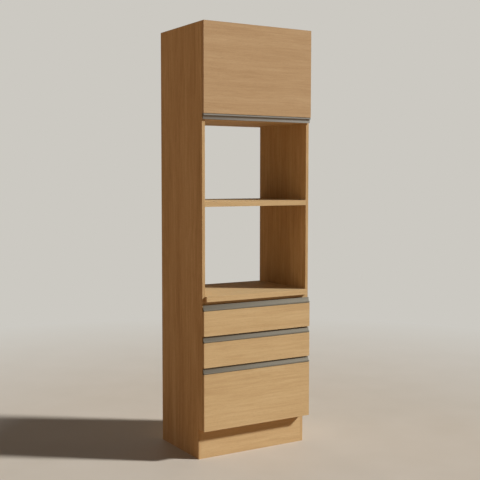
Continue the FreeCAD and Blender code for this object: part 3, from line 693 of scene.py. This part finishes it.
# ---- cams, their bolts and caps ----

def cams():
    """The cams among the cam fittings, which are taller than the bolts."""
    return [(low, high) for low, high in solids("cam_fittings")
            if high.z - low.z > CAM_LEAST_HEIGHT]


def bolts():
    """The bolts among the cam fittings."""
    return [(low, high) for low, high in solids("cam_fittings")
            if high.z - low.z < CAM_LEAST_HEIGHT]


def cam_rings(low, high):
    """A cast cam along Z with a cross slot in the face that a screwdriver turns."""
    size = (high.x - low.x) / 2
    tall = high.z - low.z
    return [cross(size * 0.62, size * 0.14, CAM_SLOT_DEPTH),
            cross(size * 0.66, size * 0.17, CAM_FACE_DEPTH),
            ring(size * 0.84, CAM_FACE_DEPTH), ring(size * 0.86, 0.0), ring(size * 0.96, 0.0),
            ring(size, CAM_CHAMFER), ring(size, tall * 0.35), ring(size * 0.9, tall * 0.42),
            ring(size * 0.9, tall * 0.72), ring(size, tall * 0.78), ring(size, tall)]


def bolt_rings(low, high):
    """A cam bolt along Z from its thread in the side panel to the head that the cam grips."""
    size = (high.z - low.z) / 2
    long = high.x - low.x
    rings = [ring(size * 0.3, 0.0)]
    for turn in range(BOLT_THREADS):
        at = long * 0.4 * (turn + 0.3) / BOLT_THREADS
        rings += [ring(size * 0.74, at), ring(size, at + long * 0.03)]
    return rings + [ring(size, long * 0.41), ring(size, long * 0.45),
                    ring(size * 0.62, long * 0.48), ring(size * 0.62, long * 0.84),
                    ring(size * 0.95, long * 0.9), ring(size * 0.95, long * 0.96),
                    ring(size * 0.5, long)]


def cam_set():
    """Slotted cams and threaded bolts in place of the plain ones."""
    def build(shape):
        for low, high in cams():
            middle = (low + high) / 2
            stack(shape, cam_rings(low, high), (middle.x, middle.y, low.z), (0, 0, 1))
        for low, high in bolts():
            middle = (low + high) / 2
            side = math.copysign(1, middle.x)
            outer = max(abs(low.x), abs(high.x)) * side
            stack(shape, bolt_rings(low, high), (outer, middle.y, middle.z), (-side, 0, 0))

    shared_piece("slotted_cams", "carcass", "zinc_steel", build, ["cam_fittings"])


def cam_caps():
    """Wood-coloured caps over the cams that show from inside the niches."""
    undersides = [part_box(board)[0].z for board in ("niche_ceiling", "niche_shelf")]
    places = [(low, high) for low, high in cams()
              if min(abs(low.z - z) for z in undersides) < UNDERSIDE_REACH]

    def build(shape):
        for low, high in places:
            middle = (low + high) / 2
            size = (high.x - low.x) / 2 + CAP_OVERLAP
            rings = [ring(size * share, height) for share, height in CAP_RINGS]
            stack(shape, rings, (middle.x, middle.y, low.z), (0, 0, 1))

    wood_of_ceiling = frame["nodes"]["niche_ceiling"].data.materials[0]
    piece("cam_caps", "carcass", wood_of_ceiling, build)


# ---- bumper pads and drawer runners ----

def bumper_pads():
    """Domed clear pads on the side panels' front edges."""
    arc = [math.radians(angle) for angle in DOME_ANGLES]

    def build(shape):
        for low, high in solids("bumper_pads"):
            middle = (low + high) / 2
            size = (high.x - low.x) / 2
            tall = high.y - low.y
            dome = [ring(size * math.cos(a), tall * (0.35 + 0.65 * math.sin(a))) for a in arc]
            stack(shape, [ring(size, 0.0), *dome], (middle.x, high.y, middle.z), (0, -1, 0))

    shared_piece("domed_pads", "carcass", "bumper_plastic", build, ["bumper_pads"])


def runner_fixings(drawer):
    """Pan screws along the runner members that are fixed to a drawer, and their release levers."""
    body = f"drawer_{drawer}"
    low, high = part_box(f"runner_inner_{drawer}")
    middle_z = (low.z + high.z) / 2
    web_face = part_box(f"drawer_{drawer}_side_right")[1].x + RUNNER_METAL

    def screws(shape):
        length = PAN_HEAD + RUNNER_METAL * 0.9
        rings = screw_rings(PAN_RADIUS, PAN_HEAD, PAN_SHANK, length, sunk=False)
        for side in SIDES:
            for share in RUNNER_SCREWS:
                y = low.y + share * (high.y - low.y)
                stack(shape, rings, (side * (web_face + PAN_HEAD), y, middle_z), (side, 0, 0))

    def levers(shape):
        for side in SIDES:
            near = Vector((web_face, high.y - LEVER_FAR, middle_z - LEVER_HALF_HEIGHT))
            far = Vector((web_face + LEVER_THICK, high.y - LEVER_NEAR,
                          middle_z + LEVER_HALF_HEIGHT))
            centre = (near + far) / 2
            for vert in bmesh.ops.create_cube(shape, size=1.0)["verts"]:
                vert.co = Vector([vert.co[k] * (far[k] - near[k]) + centre[k] for k in range(3)])
                vert.co.x *= side
        bmesh.ops.bevel(shape, geom=shape.edges, offset=LEVER_BEVEL, segments=2, affect="EDGES")

    shared_piece(f"runner_screws_{drawer}", body, "zinc_steel", screws)
    shared_piece(f"runner_levers_{drawer}", body, "strut_paint", levers)


camera()
surround()
lamps()
floor()
dress_all()
round_edges()
for drawer in DRAWERS:
    drawer_screws(drawer)
    runner_fixings(drawer)
hinge_screws("cabinet", "carcass", -1)
hinge_screws("door", "flap", 1)
cam_set()
cam_caps()
bumper_pads()

bpy.context.scene.view_settings.view_transform = "Standard"
